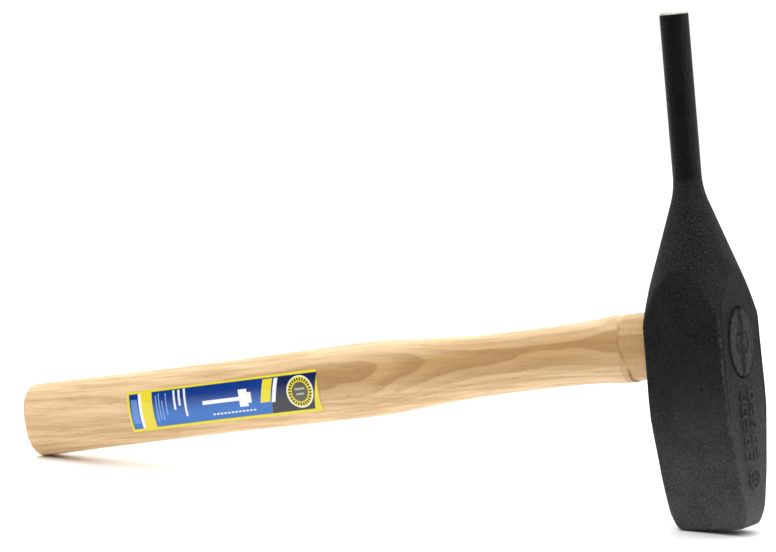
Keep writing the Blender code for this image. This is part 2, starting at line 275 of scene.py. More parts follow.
def lattice_noise(points, size, seed):
    """Smooth value noise from -1 to 1, with features of the given size in metres."""
    table = np.random.default_rng(seed).uniform(-1, 1, (NOISE_CELLS, NOISE_CELLS, NOISE_CELLS))
    spot = np.asarray(points) / size
    cell = np.floor(spot).astype(int)
    part = spot - cell
    part = part * part * (3 - 2 * part)
    total = np.zeros(len(spot))
    for dx in (0, 1):
        for dy in (0, 1):
            for dz in (0, 1):
                weight = np.ones(len(spot))
                for axis, step in enumerate((dx, dy, dz)):
                    weight *= part[:, axis] if step else 1 - part[:, axis]
                corner = (cell + (dx, dy, dz)) % NOISE_CELLS
                total += weight * table[corner[:, 0], corner[:, 1], corner[:, 2]]
    return total


def soft_max(first, second, softness):
    """The larger of two distances, rounded where they are nearly equal."""
    overlap = np.maximum(softness - np.abs(first - second), 0)
    return np.maximum(first, second) + overlap**2 / (4 * softness)


def fade(value, low, high):
    """0 below low, 1 above high, smooth between."""
    part = np.clip((value - low) / (high - low), 0, 1)
    return part * part * (3 - 2 * part)


# ---------------------------------------------------------------- head
def plane_distance(first, second, third):
    """Distance function of the plane through three points, growing away from the axis."""
    first, second, third = (np.array(point) for point in (first, second, third))
    normal = np.cross(second - first, third - first)
    normal = normal / np.linalg.norm(normal)
    if normal[0] + normal[1] < 0:
        normal = -normal
    return lambda x, y, z: (
        normal[0] * (x - first[0]) + normal[1] * (y - first[1]) + normal[2] * (z - first[2])
    )


CHEEK_SPREAD = HALF_THICKNESS - POLL_HALF_THICKNESS
CORNER_TOP_Y = POLL_HALF_THICKNESS + CHEEK_SPREAD * CORNER_CUT_HEIGHT / KNEE_HEIGHT
lower_cheek = plane_distance(
    (0, POLL_HALF_THICKNESS, 0), (0, HALF_THICKNESS, KNEE_HEIGHT), (MM, HALF_THICKNESS, KNEE_HEIGHT)
)
poll_bevel = plane_distance(
    (HALF_LENGTH - POLL_BEVEL_LENGTH, 0, 0),
    (HALF_LENGTH, 0, POLL_BEVEL_HEIGHT),
    (HALF_LENGTH, MM, POLL_BEVEL_HEIGHT),
)
corner_cut = plane_distance(
    (HALF_LENGTH - CORNER_CUT_LENGTH, POLL_HALF_THICKNESS, 0),
    (HALF_LENGTH, POLL_HALF_THICKNESS - CORNER_CUT_DEPTH, 0),
    (HALF_LENGTH, CORNER_TOP_Y, CORNER_CUT_HEIGHT),
)


def shoulder_radius(z):
    """Radius of the punch, its fillet and the cone at a height."""
    angle = math.atan(CONE_SLOPE)
    tangent = CONE_FILLET_RADIUS * math.tan(angle / 2)
    top = CONE_APEX_HEIGHT + tangent
    drop = np.clip(top - z, 0, CONE_FILLET_RADIUS * math.sin(angle))
    fillet = PUNCH_RADIUS + CONE_FILLET_RADIUS - np.sqrt(CONE_FILLET_RADIUS**2 - drop**2)
    cone_top = CONE_APEX_HEIGHT - tangent * math.cos(angle)
    return fillet + np.maximum(cone_top - z, 0) * CONE_SLOPE


def head_field(x, y, z):
    """Roughly the distance outside the head, the distance past an arris, and 1 on the cone."""
    x, y = np.abs(x), np.abs(y)
    above = z - KNEE_HEIGHT
    cheek = soft_max(lower_cheek(x, y, z), y - HALF_THICKNESS + BODY_DRAFT * above, 2.2 * MM)
    end = soft_max(x - HALF_LENGTH, x - HALF_LENGTH + BODY_DRAFT * above, 0.3 * MM)
    end = soft_max(end, poll_bevel(x, y, z), 3.0 * MM)
    body = soft_max(cheek, end, 1.3 * MM)
    body = soft_max(body, corner_cut(x, y, z), 0.9 * MM)
    cone = (np.hypot(x, y) - shoulder_radius(z)) / math.hypot(1, CONE_SLOPE)
    tip = (np.hypot(x, y) + z - PUNCH_RADIUS - HEAD_HEIGHT + TIP_CHAMFER) / math.sqrt(2)
    cone = soft_max(cone, tip, 0.3 * MM)
    cone = soft_max(cone, z - HEAD_HEIGHT, 0.2 * MM)
    turned = fade(cone - body, -0.35 * MM, 0.35 * MM)
    body = soft_max(body, cone, 1.5 * MM)
    return soft_max(body, -z, 1.8 * MM), end - cheek, turned


def mark_height(points):
    """Plain raised marks forged on the front face below the eye: two columns and a ring."""
    across, up = points[:, 1], points[:, 2]
    emblem = np.hypot(across / 0.9, up - 25.0 * MM)
    gap = np.minimum(np.abs(emblem - 5.2 * MM), np.abs(emblem - 2.0 * MM))
    for number in range(MARK_COUNT):
        column, row = number % 2, number // 2
        aside = np.abs(across - (8.4 * column - 4.2) * MM)
        above = np.abs(up - (37.0 + 7.6 * row) * MM)
        shapes = (
            np.abs(np.maximum(aside, above) - 2.2 * MM),
            np.maximum(np.abs(aside - 1.5 * MM), above - 2.3 * MM),
            np.abs(np.hypot(aside, above) - 2.2 * MM),
        )
        gap = np.minimum(gap, shapes[number * 7 % 3])
    return fade(MARK_HALF_LINE - gap, -0.25 * MM, 0.25 * MM) * (points[:, 0] > 0)


def make_head_mesh():
    """The forging: a fine grid wrapped on the head's field, with its eye cut through."""
    around = HEAD_POINTS
    turn = np.linspace(0, 2 * math.pi, around, endpoint=False)
    heading = np.arctan2(0.6 * np.sin(turn), np.cos(turn))
    # Rows are closest at the poll's end, then where the marks are
    spans = HEAD_SPANS + [(HEAD_SPANS[-1][1], HEAD_HEIGHT / MM, HEAD_TOP_ROWS)]
    heights = [np.linspace(low, high, rows, endpoint=False) for low, high, rows in spans]
    heights = np.append(np.concatenate(heights) * MM, HEAD_HEIGHT)
    cos, sin = np.cos(heading)[None, :], np.sin(heading)[None, :]
    z = np.repeat(heights[:, None], around, axis=1)
    near, far = np.zeros_like(z), np.full_like(z, 45 * MM)
    for _ in range(24):
        reach = (near + far) / 2
        outside = head_field(reach * cos, reach * sin, z)[0] > 0
        near, far = np.where(outside, near, reach), np.where(outside, reach, far)
    reach = (near + far) / 2
    _, past, turned = head_field(reach * cos, reach * sin, z)
    past, turned = past.ravel(), turned.ravel()
    points = np.stack([reach * cos, reach * sin, z], axis=-1).reshape(-1, 3)
    # Forged unevenness fades out on the machined punch and at the two end faces
    rough = fade(points[:, 2], 1 * MM, 8 * MM) * fade(-points[:, 2], -FORGED_ENDS[1], -FORGED_ENDS[0])
    swell = 0.10 * MM * lattice_noise(points, 17 * MM, 11)
    swell = swell + 0.05 * MM * lattice_noise(points, 6 * MM, 12)
    swell += 0.022 * MM * lattice_noise(points, 1.6 * MM, 13)
    swell *= 1 - 0.7 * turned
    marks = mark_height(points)
    arris = fade(-np.abs(past), -1.6 * MM, -0.2 * MM) * (1 - turned)
    flash = fade(points[:, 2], *SEAM_STARTS) * fade(-points[:, 2], -SEAM_ENDS[1], -SEAM_ENDS[0])
    flash *= 1 - turned
    flash *= 0.75 + 0.25 * lattice_noise(points, 5 * MM, 15)
    groove = flash * fade(past, 0.9 * MM, 1.5 * MM) * fade(-past, -3.0 * MM, -2.0 * MM)
    lift = rough * (swell - 0.03 * MM) + SEAM_RIDGE * flash * arris - SEAM_GROOVE * groove
    lift += MARK_RELIEF * marks
    # A painted glint on the arrises near the cone, and painted highlights on the raised marks, go into the
    # arris attribute for the paint
    glint = fade(-np.abs(points[:, 2] - GLINT_HEIGHT), -4.0 * MM, -1.0 * MM)
    arris = np.maximum(arris * (1 + glint), marks)
    shaft_lift = 0.012 * MM * lattice_noise(points, 9 * MM, 14) * (1 - rough)
    shaft_lift *= points[:, 2] > FORGED_ENDS[0]
    radial = points.copy()
    radial[:, 2] = 0
    radial /= np.maximum(np.linalg.norm(radial, axis=1, keepdims=True), 1e-6)
    points += radial * (lift + shaft_lift)[:, None]
    points[:, 0] += PUNCH_BEND * np.maximum(points[:, 2] - CONE_APEX_HEIGHT, 0)
    rings = points.reshape(len(heights), around, 3)
    mesh = grid_mesh("forged_head", rings, HEAD_FIRST_CAP, HEAD_LAST_CAP)
    first = (HEAD_FIRST_CAP - 1) * around
    for name, field in (("arris", arris), ("turned", turned), ("groove", groove)):
        layer = mesh.attributes.new(name, "FLOAT", "POINT")
        values = np.zeros(len(mesh.vertices))
        values[first:first + field.size] = field
        layer.data.foreach_set("value", values)
    return cut(mesh, eye_cutter())


def eye_cutter():
    """The eye: an oval hole along X that flares a little at each mouth."""
    stations = []
    for x in (-40.0, -22.3, -21.2, 21.2, 22.3, 40.0):
        flare = max(0.0, abs(x) - 21.2) * 0.75 * MM
        stations.append((x * MM, EYE_TALL + 2 * flare, EYE_WIDE + 2 * flare))
    turn = np.linspace(0, 2 * math.pi, OVAL_POINTS, endpoint=False)
    rings = [
        np.stack(
            [np.full_like(turn, x), -np.cos(turn) * wide / 2, EYE_HEIGHT + np.sin(turn) * tall / 2],
            axis=-1,
        )
        for x, tall, wide in stations
    ]
    return grid_mesh("eye", np.array(rings), 2, 2)


# ---------------------------------------------------------------- handle
def smooth_table(place, column):
    """A column of the grip's table at distances along it, on a smooth curve with no overshoot."""
    at, value = GRIP_SECTIONS[:, 0], GRIP_SECTIONS[:, column]
    span, rise = np.diff(at), np.diff(value)
    steep = rise / span
    slope = np.zeros(len(at))
    same = steep[:-1] * steep[1:] > 0
    slope[1:-1][same] = 2 * (steep[:-1] * steep[1:])[same] / (steep[:-1] + steep[1:])[same]
    place = np.clip(place, at[0], at[-1])
    index = np.clip(np.searchsorted(at, place, side="right") - 1, 0, len(span) - 1)
    part = (place - at[index]) / span[index]
    ease = part * part * (3 - 2 * part)
    bend_in = slope[index] * span[index] * part * (1 - part) ** 2
    bend_out = slope[index + 1] * span[index] * part * part * (1 - part)
    return value[index] + rise[index] * ease + bend_in - bend_out


def grip_centre(place):
    """Centre of the grip at distances from the head's rear face, and its downward angle."""
    straight = GRIP_SECTIONS[1, 0]
    hang = GRIP_HANG * np.minimum(1.0, place / straight)
    drop = math.tan(GRIP_HANG) * np.maximum(0.0, place - straight / 2)
    return -HALF_LENGTH - place * math.cos(GRIP_HANG), EYE_HEIGHT - drop, hang


def oval(angle, squareness):
    """Unit superellipse: across is positive towards -Y, and a quarter turn is the top."""
    across = np.sign(np.cos(angle)) * np.abs(np.cos(angle)) ** (2 / squareness)
    up = np.sign(np.sin(angle)) * np.abs(np.sin(angle)) ** (2 / squareness)
    return across, up


def grip_points(place, angle, lift=0.0):
    """Points on the grip's plain oval surface, or lifted off it."""
    centre_x, centre_z, hang = grip_centre(place)
    settle = np.minimum(1.0, place / GRIP_SECTIONS[3, 0])
    across, up = oval(angle, 2.0 + (GRIP_SQUARENESS - 2.0) * settle)
    wide = smooth_table(place, 2) / 2 + lift
    tall = smooth_table(place, 1) / 2 + lift
    x = centre_x - np.sin(hang) * up * tall
    return np.stack([x, -across * wide, centre_z + np.cos(hang) * up * tall], axis=-1)


def shaved_scale(place, angle):
    """How far the rasped facets beside the head cut into the oval, as a scale about its centre."""
    across, up = oval(angle, 2.0)
    y, z = np.abs(across) * COLLAR_HALF_WIDE, up * COLLAR_HALF_TALL
    scale = np.ones_like(y)
    for degrees, distance in FACETS:
        normal = math.cos(math.radians(degrees)), math.sin(math.radians(degrees))
        reach = y * normal[0] + z * normal[1]
        scale = np.minimum(scale, distance * MM / np.maximum(reach, 1e-6))
    side = np.cos(angle)
    edge = (20.0 + 2.4 * np.sin(angle) - 1.2 * side + 0.8 * np.sin(5 * angle + 1.0)) * MM
    amount = fade(edge - place, -0.5 * MM, 0.5 * MM)
    return 1 + (scale * COLLAR_SHRINK - 1) * amount


def make_handle_mesh():
    """The handle: tenon, rasped shoulder, waist, swell and rounded butt in one lofted skin."""
    around = OVAL_POINTS
    angle = np.linspace(0, 2 * math.pi, around, endpoint=False)
    fit = 2 * EYE_FIT
    rings = []
    front = HALF_LENGTH + TENON_PROUD
    cos, sin = np.cos(angle), np.sin(angle)
    # The tenon's end is a little domed and its rim is eased
    for back, inset in ((0.0, 0.9), (0.1, 0.45), (0.35, 0.12), (0.9, 0.0)):
        x = front - back * MM
        rings.append((x, (EYE_TALL - fit) / 2 - inset * MM, (EYE_WIDE - fit) / 2 - inset * MM))
    for x in np.linspace(front - 2 * MM, -HALF_LENGTH - 0.25 * MM, 24):
        rings.append((x, (EYE_TALL - fit) / 2, (EYE_WIDE - fit) / 2))
    rows = [
        np.stack([np.full(around, x), -cos * wide, EYE_HEIGHT + sin * tall], axis=-1)
        for x, tall, wide in rings
    ]
    straight = GRIP_LENGTH - BUTT_EDGE_RADIUS
    near = np.arange(0.35 * MM, 27 * MM, 0.35 * MM)
    rest = np.linspace(27.5 * MM, straight, 230)
    bend = straight + BUTT_EDGE_RADIUS * np.sin(np.radians(np.linspace(9, 90, 10)))
    for place in np.concatenate([near, rest, bend]):
        past = max(0.0, place - straight)
        inset = BUTT_EDGE_RADIUS - math.sqrt(max(BUTT_EDGE_RADIUS**2 - past**2, 0.0))
        ring = grip_points(np.full(around, place), angle, -inset)
        centre = ring.mean(axis=0)
        ring = centre + (ring - centre) * shaved_scale(place, angle)[:, None]
        rows.append(ring)
    points = np.array(rows)
    flat = points.reshape(-1, 3)
    # Slight hand-sanded waviness, running along the grain
    wave = lattice_noise(flat * np.array([0.18, 1, 1]), 7 * MM, 21) * fade(-flat[:, 0], 0.045, 0.060)
    centre_z = EYE_HEIGHT + math.tan(GRIP_HANG) * np.minimum(flat[:, 0] + HALF_LENGTH, 0)
    out = np.stack([np.zeros(len(flat)), flat[:, 1], flat[:, 2] - centre_z], axis=-1)
    out /= np.maximum(np.linalg.norm(out, axis=1, keepdims=True), 1e-6)
    flat += out * (0.07 * MM * (wave - 1) * (wave != 0))[:, None]
    mesh = grid_mesh("handle_wood", flat.reshape(points.shape), 14, 10)
    mesh = cut(mesh, wedge_mesh("kerf", CUT_CLEARANCE, CUT_OVERRUN))
    return cut(mesh, ring_mesh("groove", CUT_CLEARANCE, CUT_OVERRUN))


# ---------------------------------------------------------------- wedges
def wedge_mesh(name, clearance, extra):
    """The wood wedge's tapered slab, or with clearance and extra length the kerf it fills."""
    front = HALF_LENGTH + TENON_PROUD + extra
    back = HALF_LENGTH + TENON_PROUD - WEDGE_DEPTH - clearance
    slope = (WEDGE_THICK_END - WEDGE_THIN_END) / WEDGE_DEPTH / 2
    rings = []
    for x in np.linspace(back, front, 16):
        half = WEDGE_THIN_END / 2 + clearance + slope * (x - back)
        tall = EYE_TALL * 0.6
        corners = [(-half, -tall), (half, -tall), (half, tall), (-half, tall)]
        ring = []
        for (y0, z0), (y1, z1) in zip(corners, corners[1:] + corners[:1]):
            for part in np.linspace(0, 1, 12, endpoint=False):
                ring.append((x, y0 + (y1 - y0) * part, EYE_HEIGHT + z0 + (z1 - z0) * part))
        rings.append(ring)
    return grid_mesh(name, np.array(rings), 3, 3)


def ring_mesh(name, clearance, extra):
    """The ring wedge's tube with eased edges, or its groove."""
    outer = RING_OUTER_RADIUS + clearance
    inner = RING_OUTER_RADIUS - RING_WALL - clearance
    front = HALF_LENGTH + TENON_PROUD + extra
    back = HALF_LENGTH + TENON_PROUD - RING_DEPTH - clearance
    ease = 0.32 * MM
    profile = [(back, inner), (front - ease, inner), (front - ease * 0.3, inner + ease * 0.3)]
    profile += [(front, inner + ease), (front, outer - ease)]
    profile += [(front - ease * 0.3, outer - ease * 0.3), (front - ease, outer), (back, outer)]
    turn = np.linspace(0, 2 * math.pi, ROUND_POINTS, endpoint=False)
    points, faces = [], []
    for x, radius in profile:
        for angle in turn:
            points.append((x, radius * math.cos(angle), EYE_HEIGHT + radius * math.sin(angle)))
    for row in range(len(profile)):
        here = row * ROUND_POINTS
        below = (row + 1) % len(profile) * ROUND_POINTS
        for step in range(ROUND_POINTS):
            after = (step + 1) % ROUND_POINTS
            faces.append((here + step, here + after, below + after, below + step))
    mesh = bpy.data.meshes.new(name)
    mesh.from_pydata(points, [], faces)
    face_out(mesh)
    return mesh


def make_wedge_mesh():
    """The wooden wedge, trimmed to the tenon and cut by the ring."""
    turn = np.linspace(0, 2 * math.pi, ROUND_POINTS, endpoint=False)
    tall, wide = EYE_TALL / 2 - 2 * EYE_FIT, EYE_WIDE / 2 - 2 * EYE_FIT
    rings = [
        np.stack([np.full_like(turn, x), -np.cos(turn) * wide, EYE_HEIGHT + np.sin(turn) * tall], axis=-1)
        for x in (-0.05, 0.05)
    ]
    trim = grid_mesh("trim", np.array(rings), 2, 2)
    mesh = cut(wedge_mesh("wood_wedge_driven", 0.0, 0.15 * MM), trim, "INTERSECT")
    return cut(mesh, ring_mesh("wedge_groove", CUT_CLEARANCE, CUT_OVERRUN))


# ---------------------------------------------------------------- label
def make_label_mesh():
    """The label film, wrapped on the grip's side, with U along it and V up it in millimetres."""
    columns, rows = 180, 40
    place = LABEL_START + LABEL_LENGTH * np.linspace(0, 1, columns + 1)
    angle = np.linspace(LABEL_BOTTOM_ANGLE, LABEL_TOP_ANGLE, rows + 1)
    places, angles = np.meshgrid(place, angle, indexing="ij")
    skin = grip_points(places.ravel(), angles.ravel(), LABEL_LIFT).reshape(columns + 1, rows + 1, 3)
    girth = np.linalg.norm(np.diff(skin, axis=1), axis=-1)
    up = np.concatenate([np.zeros((columns + 1, 1)), np.cumsum(girth, axis=1)], axis=1)
    index = np.arange((columns + 1) * (rows + 1)).reshape(columns + 1, rows + 1)
    quads = np.stack([index[:-1, :-1], index[1:, :-1], index[1:, 1:], index[:-1, 1:]], axis=-1)
    mesh = bpy.data.meshes.new("label_film")
    mesh.from_pydata(skin.reshape(-1, 3).tolist(), [], quads.reshape(-1, 4).tolist())
    print_map = mesh.uv_layers.new(name="print")
    along = (LABEL_LENGTH - (places - LABEL_START)).ravel()
    spot = np.stack([along, up.ravel()], axis=-1) / MM
    loops = np.zeros(len(mesh.loops), dtype=int)
    mesh.loops.foreach_get("vertex_index", loops)
    print_map.data.foreach_set("uv", spot[loops].ravel())
    bm = bmesh.new()
    bm.from_mesh(mesh)
    bmesh.ops.solidify(bm, geom=bm.faces, thickness=LABEL_THICKNESS)
    bmesh.ops.recalc_face_normals(bm, faces=bm.faces)
    bm.to_mesh(mesh)
    bm.free()
    mesh.shade_smooth()
    mesh.set_sharp_from_angle(angle=CREASE_ANGLE)
    return mesh, float(up[:, -1].mean() / MM)


# ---------------------------------------------------------------- materials
class Nodes:
    """Short calls for building one material's nodes."""

    def __init__(self, name):
        self.material = bpy.data.materials.new(name)
        self.material.use_nodes = True
        self.tree = self.material.node_tree
        self.shader = self.tree.nodes["Principled BSDF"]

    def add(self, kind, inputs=None, **settings):
        """A node with its settings and inputs; an input that is a socket is linked."""
        item = self.tree.nodes.new(kind)
        for key, value in settings.items():
            setattr(item, key, value)
        for key, value in (inputs or {}).items():
            self.feed(item.inputs[key], value)
        return item

    def feed(self, socket, value):
        """Link a socket or set its value."""
        if isinstance(value, bpy.types.NodeSocket):
            self.tree.links.new(value, socket)
        else:
            socket.default_value = value

    def math(self, operation, *values):
        """A math node on sockets or numbers."""
        item = self.tree.nodes.new("ShaderNodeMath")
        item.operation = operation
        for slot, value in enumerate(values):
            self.feed(item.inputs[slot], value)
        return item.outputs[0]

    def ramp(self, value, low, high):
        """A clamped smooth ramp of a value, from 0 at low to 1 at high."""
        inputs = {"Value": value, 1: low, 2: high}
        return self.add("ShaderNodeMapRange", inputs, interpolation_type="SMOOTHSTEP").outputs[0]

    def mix(self, factor, first, second):
        """Two colours mixed."""
        item = self.tree.nodes.new("ShaderNodeMix")
        item.data_type = "RGBA"
        self.feed(item.inputs[0], factor)
        for slot, value in ((6, first), (7, second)):
            solid = not isinstance(value, bpy.types.NodeSocket)
            self.feed(item.inputs[slot], (*value, 1.0) if solid else value)
        return item.outputs[2]

    def noise(self, vector, scale, detail=2.0, roughness=0.5):
        """Fractal noise from 0 to 1, with its scale in features per metre."""
        inputs = {"Vector": vector, "Scale": scale, "Detail": detail, "Roughness": roughness}
        return self.add("ShaderNodeTexNoise", inputs).outputs[0]

    def place(self):
        """The point in the tool's frame, and its X, Y and Z."""
        world = self.add("ShaderNodeTexCoord").outputs["Object"]
        inputs = {"Vector": world, "Location": TOOL.translation, "Rotation": TOOL.to_euler()}
        vector = self.add("ShaderNodeMapping", inputs, vector_type="TEXTURE").outputs[0]
        split = self.add("ShaderNodeSeparateXYZ", {0: vector})
        return vector, split.outputs[0], split.outputs[1], split.outputs[2]

    def stretch(self, vector, scale):
        """A vector multiplied axis by axis."""
        item = self.add("ShaderNodeVectorMath", {0: vector, 1: scale}, operation="MULTIPLY")
        return item.outputs[0]

    def set(self, **inputs):
        """Shader inputs by name, with underscores for spaces."""
        for key, value in inputs.items():
            self.feed(self.shader.inputs[key.replace("_", " ")], value)
        return self.material

    def bump(self, height, distance):
        """A normal tilted by a height, where a height of 1 is the distance in metres."""
        return self.add("ShaderNodeBump", {"Height": height, "Distance": distance}).outputs[0]


def black_paint():
    """Satin black coating: pebbled on the forging, smooth on the punch, worn bare at the tip.

    It is painted lighter towards the poll, as painted bounce light from the floor.
    """
    nodes = Nodes("black_paint")
    vector, _, _, z = nodes.place()
    turned = nodes.add("ShaderNodeAttribute", attribute_name="turned").outputs["Fac"]
    arris = nodes.add("ShaderNodeAttribute", attribute_name="arris").outputs["Fac"]
    smooth = nodes.ramp(z, *MACHINED_STARTS)
    pebble = nodes.noise(vector, 700.0, 3.0, 0.62)
    speck = nodes.noise(vector, 1450.0, 2.0, 0.6)
    grit = nodes.noise(vector, 2300.0, 1.0, 0.5)
    patch = nodes.noise(vector, 60.0, 3.0, 0.55)
    # Painted highlight along the arrises and raised marks, broken up by noise
    edge_highlight = nodes.math("MULTIPLY", arris, nodes.ramp(nodes.noise(vector, 420.0, 3.0, 0.6), 0.40, 0.62))
    mottle = nodes.math("ADD", nodes.math("MULTIPLY", speck, 0.85), nodes.math("MULTIPLY", patch, 0.3))
    tone = nodes.ramp(mottle, 0.47, 0.69)
    # Painted bounce light from the floor: the paint turns much lighter towards the poll
    painted_floor_light = nodes.math("SUBTRACT", 1.0, nodes.ramp(z, *FLOOR_LIGHT_FADES))
    color = nodes.mix(tone, (0.0003, 0.0004, 0.0006), (0.0170, 0.0172, 0.0178))
    floor_lit_tone = nodes.mix(tone, (0.0680, 0.0683, 0.0695), (0.1450, 0.1454, 0.1465))
    color = nodes.mix(painted_floor_light, color, floor_lit_tone)
    # The turned cone is painted lighter: partly its finer turned finish, partly painted light on its
    # upward slope
    turned_and_lit_tone = nodes.mix(tone, (0.0030, 0.0031, 0.0035), (0.0400, 0.0401, 0.0405))
    color = nodes.mix(nodes.math("MULTIPLY", turned, 0.8), color, turned_and_lit_tone)
    color = nodes.mix(smooth, color, nodes.mix(tone, (0.0008, 0.0008, 0.0010), (0.0030, 0.0030, 0.0034)))
    # The painted highlight lightens the paint to grey
    color = nodes.mix(nodes.math("MULTIPLY", edge_highlight, 0.50), color, (0.13, 0.13, 0.13))
    # Painted shade in the seam's groove: the paint is darkened to near black there
    groove = nodes.add("ShaderNodeAttribute", attribute_name="groove").outputs["Fac"]
    color = nodes.mix(nodes.math("MULTIPLY", groove, 0.8), color, (0.0010, 0.0010, 0.0012))
    scuff_line = nodes.math("ABSOLUTE", nodes.math("SUBTRACT", z, SCUFF_HEIGHT))
    scuff = nodes.ramp(nodes.noise(vector, 190.0, 3.0, 0.6), 0.53, 0.60)
    on_line = nodes.math("SUBTRACT", 1.0, nodes.ramp(scuff_line, 0.0004, 0.0016))
    scuff = nodes.math("MULTIPLY", scuff, on_line)
    color = nodes.mix(nodes.math("MULTIPLY", scuff, 0.8), color, (0.0008, 0.0008, 0.0010))
    bare_line = nodes.math("ADD", z, nodes.math("MULTIPLY", nodes.noise(vector, 900.0, 2.0), 0.0006))
    bare = nodes.ramp(bare_line, HEAD_HEIGHT - 0.00125, HEAD_HEIGHT - 0.0009)
    scratch = nodes.noise(nodes.stretch(vector, (1.0, 6.0, 1.0)), 800.0, 3.0, 0.7)
    steel = nodes.mix(scratch, (0.27, 0.26, 0.245), (0.46, 0.45, 0.42))
    color = nodes.mix(bare, color, steel)
    rough = nodes.math("ADD", nodes.math("MULTIPLY", patch, 0.20), 0.40)
    rough = nodes.math("SUBTRACT", rough, nodes.math("MULTIPLY", smooth, 0.17))
    height = nodes.math("ADD", pebble, nodes.math("MULTIPLY", grit, 0.30))
    pebbled = nodes.math("SUBTRACT", 1.0, nodes.math("MULTIPLY", smooth, 0.85))
    height = nodes.math("MULTIPLY", height, pebbled)
    return nodes.set(
        Base_Color=color,
        Roughness=rough,
        Metallic=bare,
        Specular_IOR_Level=0.13,
        Normal=nodes.bump(height, 0.0045),
    )


def wood_colors(nodes, vector):
    """Growth layers cut by the grip's shape, with fibres and pores: colour, and bump height.

    The layers' centre lies beyond the far side and below, so the swell cuts them in arches that
    point at the head. Each layer starts dark and fades outwards.
    """
    split = nodes.add("ShaderNodeSeparateXYZ", {0: vector})
    x, y, z = split.outputs
    hang = nodes.math("MULTIPLY", nodes.math("ADD", x, 0.0346), math.tan(GRIP_HANG))
    rise = nodes.math("SUBTRACT", nodes.math("SUBTRACT", z, EYE_HEIGHT), hang)
    wander = nodes.noise(nodes.stretch(vector, (0.25, 1.0, 1.0)), 30.0, 2.0, 0.5)
    ripple = nodes.noise(nodes.stretch(vector, (0.12, 1.0, 1.0)), 240.0, 3.0, 0.6)
    pith_y = nodes.math("SUBTRACT", y, 0.075)
    pith_z = nodes.math("ADD", rise, 0.010)
    square_y = nodes.math("MULTIPLY", pith_y, pith_y)
    square_z = nodes.math("MULTIPLY", pith_z, pith_z)
    radius = nodes.math("SQRT", nodes.math("ADD", square_y, square_z))
    radius = nodes.math("ADD", radius, nodes.math("MULTIPLY", nodes.math("SUBTRACT", wander, 0.5), 0.0036))
    radius = nodes.math("ADD", radius, nodes.math("MULTIPLY", nodes.math("SUBTRACT", ripple, 0.5), 0.0005))
    layer = nodes.math("FRACT", nodes.math("DIVIDE", radius, 0.00130))
    start = nodes.ramp(layer, 0.0, 0.10)
    band = nodes.math("MULTIPLY", start, nodes.math("SUBTRACT", 1.0, nodes.ramp(layer, 0.12, 0.85)))
    fibre = nodes.noise(nodes.stretch(vector, (0.030, 1.0, 1.0)), 1500.0, 4.0, 0.62)
    streak = nodes.noise(nodes.stretch(vector, (0.040, 1.0, 1.0)), 300.0, 3.0, 0.6)
    pore_cell = nodes.noise(nodes.stretch(vector, (0.10, 1.0, 1.0)), 1900.0, 1.0, 0.5)
    pore = nodes.math("MULTIPLY", nodes.ramp(pore_cell, 0.60, 0.70), nodes.ramp(band, 0.10, 0.6))
    # A dark band along the middle of the grip's -Y side near the head: partly the wood's own darker tint
    # towards the waist, partly painted shade; it also deepens the growth layers there
    reach = nodes.math("MULTIPLY", nodes.ramp(x, -0.36, -0.22), nodes.ramp(y, 0.004, -0.006))
    off_band = nodes.math("ABSOLUTE", nodes.math("SUBTRACT", rise, 0.0035))
    fray = nodes.math("MULTIPLY", nodes.math("SUBTRACT", streak, 0.5), 0.008)
    off_band = nodes.math("ADD", off_band, fray)
    waist_tint_and_shade = nodes.math("MULTIPLY", reach, nodes.math("SUBTRACT", 1.0, nodes.ramp(off_band, 0.002, 0.0135)))
    ringed = nodes.math("MULTIPLY", band, nodes.math("ADD", nodes.math("MULTIPLY", waist_tint_and_shade, 0.42), 0.12))
    color = nodes.mix(nodes.ramp(streak, 0.34, 0.68), (0.830, 0.595, 0.345), (0.620, 0.405, 0.198))
    color = nodes.mix(nodes.math("MULTIPLY", waist_tint_and_shade, 0.68), color, (0.455, 0.250, 0.084))
    color = nodes.mix(ringed, color, (0.330, 0.170, 0.055))
    fine = nodes.math("MULTIPLY", nodes.ramp(fibre, 0.50, 0.72), 0.20)
    color = nodes.mix(fine, color, (0.36, 0.195, 0.075))
    color = nodes.mix(nodes.math("MULTIPLY", pore, 0.28), color, (0.26, 0.130, 0.040))
    height = nodes.math("SUBTRACT", nodes.math("MULTIPLY", fibre, 0.5), pore)
    return color, height


def lacquered_wood():
    """The handle: pale wood under a satin lacquer, with black paint on the tenon's end."""
    nodes = Nodes("lacquered_wood")
    vector, x, _, _ = nodes.place()
    color, height = wood_colors(nodes, vector)
    rasped = nodes.ramp(x, -HALF_LENGTH - 0.0215, -HALF_LENGTH - 0.0195)
    rasp = nodes.noise(nodes.stretch(vector, (1.0, 0.35, 0.35)), 700.0, 3.0, 0.6)
    worn = nodes.mix(nodes.ramp(rasp, 0.30, 0.74), (0.545, 0.335, 0.145), (0.455, 0.260, 0.098))
    color = nodes.mix(nodes.math("MULTIPLY", rasped, 0.62), color, worn)
    height = nodes.math("ADD", height, nodes.math("MULTIPLY", rasp, nodes.math("MULTIPLY", rasped, 0.25)))
    edge = nodes.math("ADD", x, nodes.math("MULTIPLY", nodes.noise(vector, 600.0, 2.0), 0.001))
    paint = nodes.ramp(edge, HALF_LENGTH - 0.0035, HALF_LENGTH - 0.0028)
    end_grain = nodes.noise(vector, 420.0, 4.0, 0.62)
    black = nodes.mix(nodes.ramp(end_grain, 0.42, 0.68), DEEP_BLACK, BRUSHED_BLACK)
    color = nodes.mix(paint, color, black)
    rough = nodes.math("ADD", nodes.math("MULTIPLY", paint, 0.16), 0.40)
    painted_grain = nodes.math("MULTIPLY", nodes.math("MULTIPLY", end_grain, paint), 30.0)
    height = nodes.math("ADD", height, painted_grain)
    return nodes.set(
        Base_Color=color,
        Roughness=rough,
        Specular_IOR_Level=0.30,
        Normal=nodes.bump(height, 0.00009),
    )


